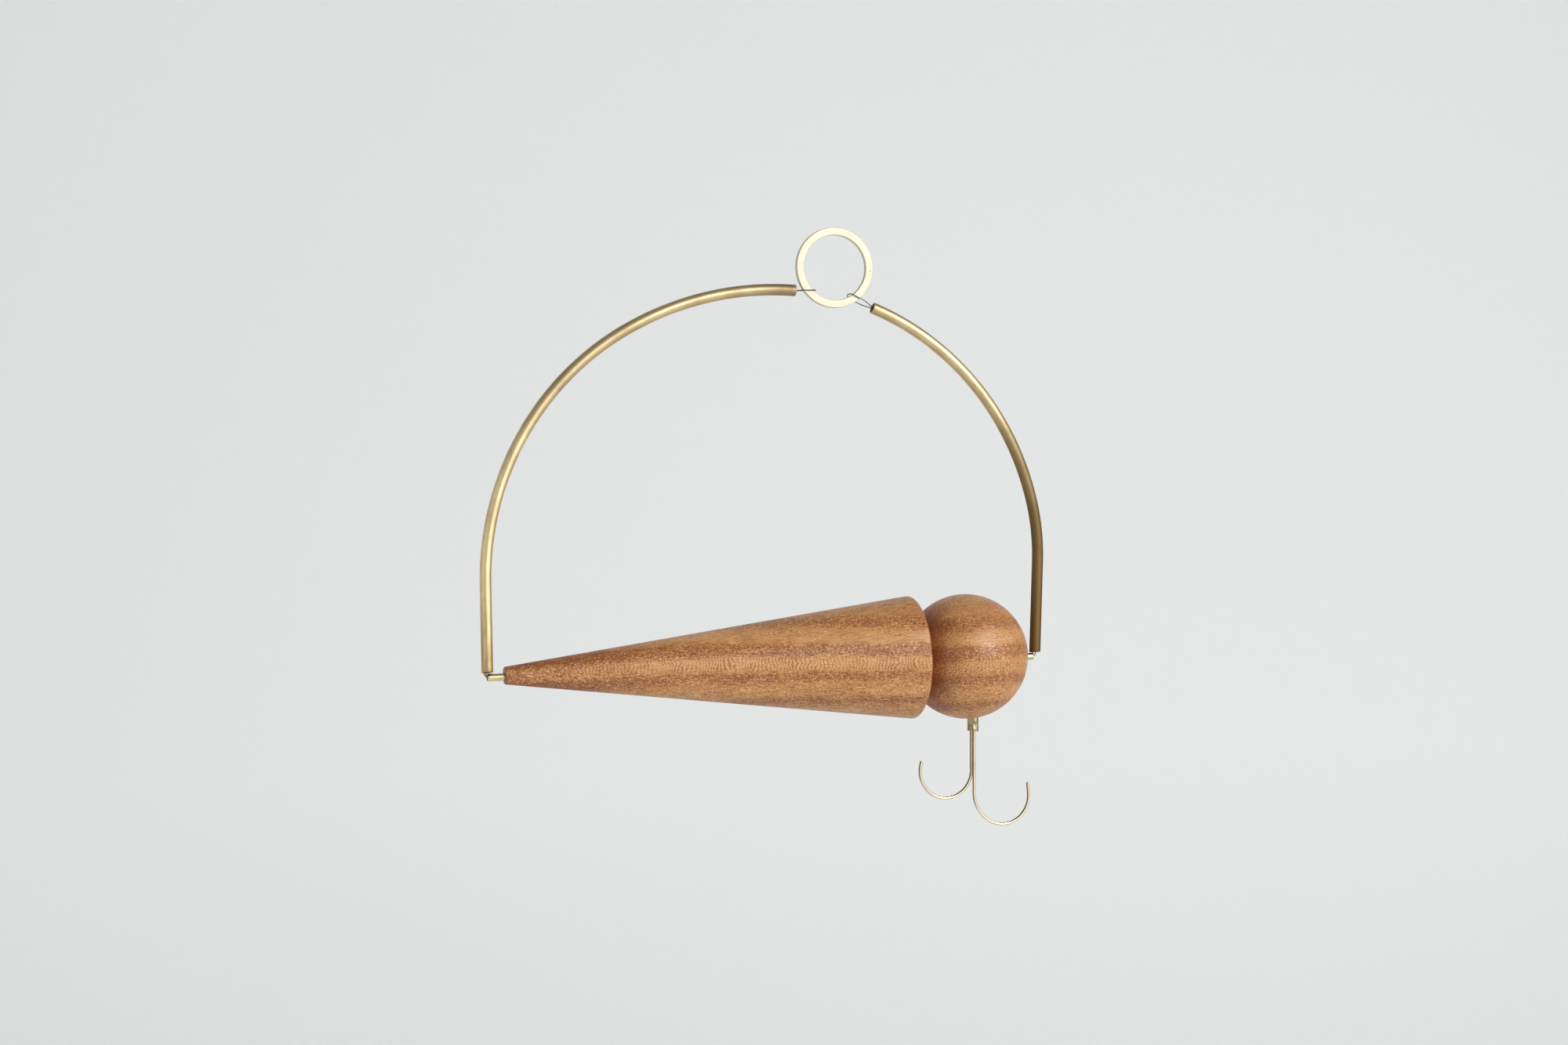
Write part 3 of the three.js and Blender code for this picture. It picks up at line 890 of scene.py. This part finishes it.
def backdrop_material():
    """Matt pale paint with a faint glow, which rises from left to right."""
    shader = Shader("backdrop")
    shader.set("Base Color", (0.78, 0.79, 0.78, 1))
    shader.set("Roughness", 0.9)
    shader.set("Specular IOR Level", 0.1)
    shader.set("Emission Color", (0.98, 1, 0.99, 1))
    across = shader.split(shader.place.outputs["Object"])[0]
    shader.set("Emission Strength", shader.between(across, *GLOW_PLACES, *GLOW_STRENGTHS))
    return shader.material


cone_wood = wood_material("cone_wood", True, 0, 0)
ball_wood = wood_material("ball_wood", False, -1.8, 140)
left_brass = tube_material("left_tube_brass", (0.9, 0.735, 0.43), (0.11, 0.052, 0.012),
                           LEFT_PATINA)
right_brass = tube_material("right_tube_brass", (0.88, 0.72, 0.42), (0.2, 0.125, 0.048),
                            RIGHT_PATINA)
stub_brass = stub_material()
ferrule_brass = ferrule_material()
hook_brass = hook_material()
ring_brass = ring_material()
steel = steel_material()


# The bar's pieces, in the bar's own frame.

BAR_MATRIX = Matrix.Translation(MM * BAR_PLACE) @ BAR_TURN


def make_cone():
    """The cone, with a rounded tip and rim, bored for its stub."""
    slope = math.atan2(CONE_BASE_RADIUS - CONE_TIP_RADIUS, CONE_LENGTH)
    lean = math.degrees(slope)
    secant = 1 / math.cos(slope)
    tip = CONE_TIP_RADIUS + CONE_TIP_ROUNDING * (math.tan(slope) - secant)
    rim = CONE_BASE_RADIUS - CONE_RIM_ROUNDING * (math.tan(slope) + secant)
    tip_edge = rounded_edge(CONE_TIP_ROUNDING, tip, CONE_TIP_ROUNDING, 180, 90 + lean)
    rim_edge = rounded_edge(CONE_LENGTH - CONE_RIM_ROUNDING, rim, CONE_RIM_ROUNDING,
                            90 + lean, 0)
    low = tip_edge[-1]
    high = rim_edge[0]
    side = [(low[0] + (high[0] - low[0]) * share, low[1] + (high[1] - low[1]) * share)
            for share in spread(0, 1, CONE_ROWS)[1:-1]]
    profile = [(0, 0), *tip_edge, *side, *rim_edge, (CONE_LENGTH, 0)]
    points, faces = turned(profile, WOOD_SIDES)
    points = [point - Vector((BAR_MIDDLE, 0, 0)) for point in points]
    cone = new_piece("turned_cone", points, faces, ["cone"], cone_wood,
                     matrix=BAR_MATRIX)
    bore(cone, STUB_RADIUS + BORE_CLEARANCE, on_bar(-BORE_OVERRUN, TIP_STUB_DROP),
         on_bar(STUB_LET_IN + FACE_CLEARANCE, TIP_STUB_DROP))


def make_ball():
    """The ball, with a flat where it meets the cone, bored for its stub and for the ferrule."""
    seat = math.acos(BALL_SEAT_DISTANCE / BALL_RADIUS)
    curve = [(BALL_RADIUS * math.cos(angle), BALL_RADIUS * math.sin(angle))
             for angle in spread(math.pi - seat, 0, BALL_ROWS)[:-1]]
    profile = [(-BALL_SEAT_DISTANCE, 0), *curve, (BALL_RADIUS, 0)]
    points, faces = turned(profile, WOOD_SIDES)
    centre = on_bar(BALL_ALONG, BALL_DROP)
    points = [point + centre for point in points]
    ball = new_piece("turned_ball", points, faces, ["ball"], ball_wood,
                     matrix=BAR_MATRIX)
    drop = BALL_DROP + END_STUB_DROP
    bore(ball, STUB_RADIUS + BORE_CLEARANCE,
         on_bar(BALL_ALONG + BALL_RADIUS - STUB_LET_IN - FACE_CLEARANCE, drop),
         on_bar(BALL_ALONG + BALL_RADIUS + BORE_OVERRUN, drop))
    rise = Vector((0, 0, FERRULE_SHOWN + FERRULE_LET_IN + FACE_CLEARANCE))
    bore(ball, TUBE_RADIUS + BORE_CLEARANCE, to_bar(FERRULE_END), to_bar(FERRULE_END + rise))


def make_stub(name, node, low, high, drop):
    """A thin open tube along the bar."""
    start = from_bar(on_bar(low, drop))
    path = BentPath(start, BAR_TILT, [straight(high - low)])
    outline = tube_outline(high - low, STUB_RADIUS, STUB_WALL, STUB_STEP)
    points, faces, uvs = swept(path, outline, TUBE_SIDES)
    new_piece(name, points, faces, [node], stub_brass, uvs)


# The hoop.

LEFT_PATH = hoop_path(LEFT_FOOT, LEFT_FOOT_HEADING, LEFT_TAIL, LEFT_KNEE_TURN,
                      LEFT_HEAD, LEFT_HEAD_HEADING)
RIGHT_PATH = hoop_path(RIGHT_FOOT, RIGHT_FOOT_HEADING, RIGHT_TAIL, RIGHT_KNEE_TURN,
                       RIGHT_HEAD, RIGHT_HEAD_HEADING)


def make_hoop_tube(name, node, path, cut, material):
    outline = tube_outline(path.length, TUBE_RADIUS, TUBE_WALL, TUBE_STEP)
    shift = slanting_cut(path, cut, FOOT_CUT_BLEND)
    points, faces, uvs = swept(path, outline, TUBE_SIDES, shift)
    new_piece(name, points, faces, [node], material, uvs)


def ring_section():
    """The ring's section as (along, radius) pairs: four rounded edges, each with a row beside
    it on both faces."""
    along = RING_THICKNESS / 2 - RING_EDGE
    outer = RING_OUTER_RADIUS - RING_EDGE
    inner = RING_INNER_RADIUS + RING_EDGE
    section = []
    for x, radius, start in ((along, outer, 0), (along, inner, 270),
                             (-along, inner, 180), (-along, outer, 90)):
        angles = spread(math.radians(start + 90), math.radians(start), RING_EDGE_STEPS)
        edge = [(x + RING_EDGE * math.cos(angle), radius + RING_EDGE * math.sin(angle))
                for angle in angles]
        before = RING_EDGE_GUARD * heading_vector(start)
        after = RING_EDGE_GUARD * heading_vector(start + 90)
        section.append((edge[0][0] - before.x, edge[0][1] - before.z))
        section += edge
        section.append((edge[-1][0] - after.x, edge[-1][1] - after.z))
    return section


def make_ring():
    """A flat ring with softly rounded edges, turned about Y."""
    section = ring_section()
    count = len(section)
    points = []
    faces = []
    for k in range(RING_SIDES):
        outwards = heading_vector(360 * k / RING_SIDES)
        points += [RING_CENTRE + radius * outwards + Vector((0, along, 0))
                   for along, radius in section]
        faces += belt(k * count, (k + 1) % RING_SIDES * count, count)
    new_piece("flat_ring", points, faces, ["ring"], ring_brass)


# The steel wire.

def make_wire(name, node, points):
    path = SmoothPath(points)
    outline = rod_outline(path.length, STEEL_RADIUS, STEEL_STEP, STEEL_END_ROUNDING)
    points, faces, uvs = swept(path, outline, WIRE_SIDES)
    new_piece(name, points, faces, [node], steel, uvs)


def make_ring_wire(name, node, head, head_heading, angle, twist):
    """A doubled wire out of a tube's head, round the ring's band and back."""
    bend = round_ring(RING_INNER_RADIUS - WIRE_REACH, angle)
    inwards = heading_vector(head_heading)
    line = bend - head
    reach = line.length
    line.normalize()
    turn = Matrix.Rotation(math.radians(twist), 3, line)
    front = turn @ Vector((0, -1, 0))
    wide = (RING_THICKNESS / 2 + STEEL_RADIUS + FACE_CLEARANCE) / math.cos(math.radians(twist))

    def strand(side):
        points = [head - depth * inwards + side * WIRE_SPREAD * front
                  for depth in (WIRE_LET_IN, WIRE_LET_IN / 2, 0)]
        points += [bend - back * reach * line + side * out * wide * front
                   for back, out in RING_WIRE_OPENING]
        points += [bend - back * wide * line + side * out * wide * front
                   for back, out in RING_WIRE_CLOSING]
        return points

    make_wire(name, node, [*strand(1), bend, *reversed(strand(-1))])


def make_foot_wire(name, node, foot, mouth, outwards):
    """A doubled wire out of a tube's foot, turned into a stub's mouth and back."""
    apart = STEEL_RADIUS + FACE_CLEARANCE / 2
    out = BAR_TURN.to_3x3() @ Vector((outwards, 0, 0))
    up = Vector((0, 0, 1))

    def strand(side):
        beside = Vector((side * apart * outwards, -side * apart, 0))
        across = Vector((0, -side * apart, 0))
        points = [foot + WIRE_LET_IN * up + beside, foot + WIRE_LET_IN / 3 * up + beside]
        for along, rise in FOOT_WIRE_TURN:
            point = mouth + along * WIRE_OUTSIDE * out + rise * STUB_RADIUS * up
            points.append(point + (beside if along > 0 else across))
        return [*points, mouth - WIRE_LET_IN / 2 * out + across]

    bend = mouth - (WIRE_LET_IN / 2 + apart) * out
    make_wire(name, node, [*strand(1), bend, *reversed(strand(-1))])


# The ferrule and the hooks.

def dented(point):
    """A point of the ferrule, pushed inwards by the dents that it lies near."""
    moved = point.copy()
    for degrees, height, depth in FERRULE_DENTS:
        angle = math.radians(degrees)
        outwards = Vector((math.sin(angle), -math.cos(angle), 0))
        centre = FERRULE_END + Vector((0, 0, height)) + TUBE_RADIUS * outwards
        near = math.exp(-((point - centre).length / DENT_REACH) ** 2)
        moved -= depth * near * outwards
    return moved


def make_ferrule():
    """The short dented tube that holds the hooks."""
    length = FERRULE_SHOWN + FERRULE_LET_IN
    path = BentPath(FERRULE_END, 90, [straight(length)])
    outline = tube_outline(length, TUBE_RADIUS, TUBE_WALL, FERRULE_STEP)
    shift = slanting_cut(path, FERRULE_CUT, FERRULE_CUT_BLEND)
    points, faces, uvs = swept(path, outline, TUBE_SIDES, shift)
    points = [dented(point) for point in points]
    new_piece("hook_ferrule_tube", points, faces, ["hook_ferrule"],
              ferrule_brass, uvs)


def make_hook(name, node, side, shank, bends, tip):
    """A wire hook: a shank down out of the ferrule, bends to one side, and a straight tip."""
    apart = HOOK_RADIUS + FACE_CLEARANCE / 2
    twist = math.radians(HOOK_TWIST)
    start = FERRULE_END + Vector((
        side * apart * math.cos(twist), -side * apart * math.sin(twist), HOOK_LET_IN))
    path = BentPath(start, -90, [
        straight(HOOK_LET_IN + shank),
        *[arc(radius, side * turn) for radius, turn in bends],
        straight(tip),
    ])
    outline = rod_outline(path.length, HOOK_RADIUS, HOOK_STEP, HOOK_END_ROUNDING)
    points, faces, uvs = swept(path, outline, WIRE_SIDES)
    new_piece(name, points, faces, [node], hook_brass, uvs)


make_cone()
make_ball()
make_stub("tip_stub_tube", "tip_stub", BAR_START, STUB_LET_IN, TIP_STUB_DROP)
make_stub("end_stub_tube", "end_stub", BALL_ALONG + BALL_RADIUS - STUB_LET_IN, BAR_END,
          BALL_DROP + END_STUB_DROP)
make_ring()
make_hoop_tube("bent_tube_left", "arc_tube_left", LEFT_PATH, LEFT_FOOT_CUT, left_brass)
make_hoop_tube("bent_tube_right", "arc_tube_right", RIGHT_PATH, RIGHT_FOOT_CUT, right_brass)
make_ring_wire("ring_wire_by_left_tube", "ring_wire_left", LEFT_HEAD, LEFT_HEAD_HEADING,
               LEFT_WIRE_ANGLE, LEFT_WIRE_TWIST)
make_ring_wire("ring_wire_by_right_tube", "ring_wire_right", RIGHT_HEAD, RIGHT_HEAD_HEADING,
               RIGHT_WIRE_ANGLE, RIGHT_WIRE_TWIST)
make_foot_wire("wire_at_tip", "tip_wire", LEFT_FOOT, TIP_STUB_MOUTH, -1)
make_foot_wire("wire_at_end", "end_wire", RIGHT_FOOT, END_STUB_MOUTH, 1)
make_ferrule()
make_hook("hook_towards_cone", "hook_left", -1, LEFT_HOOK_SHANK, LEFT_HOOK_BENDS, LEFT_HOOK_TIP)
make_hook("hook_away_from_cone", "hook_right", 1, RIGHT_HOOK_SHANK, RIGHT_HOOK_BENDS,
          RIGHT_HOOK_TIP)


# The camera, the light and a plain pale backdrop that runs down into the floor.

def make_camera():
    camera = bpy.data.cameras.new("camera")
    camera.lens = CAMERA_LENS
    camera.sensor_width = CAMERA_SENSOR
    camera.clip_start = CAMERA_CLIP
    thing = placed("camera", camera)
    thing.location = MM * CAMERA_PLACE
    thing.rotation_euler = (math.radians(90), 0, math.radians(CAMERA_AZIMUTH))
    bpy.context.scene.camera = thing


def make_soft_box(name, direction, distance, width, height, power):
    """An area light that faces the object."""
    turn = Matrix.Rotation(math.radians(CAMERA_AZIMUTH), 3, "Z")
    right, up, near = direction
    outwards = (turn @ Vector((right, -near, up))).normalized()
    light = bpy.data.lights.new(name, "AREA")
    light.shape = "RECTANGLE"
    light.size = width
    light.size_y = height
    light.energy = power
    thing = placed(name, light)
    thing.visible_camera = False
    thing.location = MM * LIT_PLACE + distance * outwards
    thing.rotation_euler = outwards.to_track_quat("Z", "Y").to_euler()


def make_backdrop():
    """A floor well below the ornament and a wall behind it, joined by a wide bend."""
    profile = [(FLOOR_EDGE, FLOOR_HEIGHT)]
    profile += [(WALL_PLACE - BACKDROP_BEND * (1 - math.sin(angle)),
                 FLOOR_HEIGHT + BACKDROP_BEND * (1 - math.cos(angle)))
                for angle in spread(0, math.pi / 2, BACKDROP_BEND_STEPS)]
    profile += [(WALL_PLACE, WALL_TOP)]
    points = [(x, y, z) for y, z in profile
              for x in (-BACKDROP_HALF_WIDTH, BACKDROP_HALF_WIDTH)]
    faces = [(2 * i, 2 * i + 1, 2 * i + 3, 2 * i + 2) for i in range(len(profile) - 1)]
    mesh = bpy.data.meshes.new("backdrop")
    mesh.from_pydata(points, [], faces)
    mesh.shade_smooth()
    mesh.materials.append(backdrop_material())
    backdrop = placed("backdrop", mesh)


def make_world():
    """A pale sky, which the camera sees brighter than it lights."""
    world = bpy.data.worlds.new("studio")
    bpy.context.scene.world = world
    world.use_nodes = True
    sky = world.node_tree.nodes["Background"]
    sky.inputs["Color"].default_value = (0.97, 0.98, 1.0, 1)
    seen = world.node_tree.nodes.new("ShaderNodeLightPath").outputs["Is Camera Ray"]
    strength = world.node_tree.nodes.new("ShaderNodeMapRange")
    strength.inputs["To Min"].default_value = SKY_LIGHT
    strength.inputs["To Max"].default_value = SKY_SEEN
    world.node_tree.links.new(seen, strength.inputs["Value"])
    world.node_tree.links.new(strength.outputs[0], sky.inputs["Strength"])


bpy.context.scene.view_settings.view_transform = "Standard"
make_camera()
make_world()
make_backdrop()
for box in SOFT_BOXES:
    make_soft_box(*box)
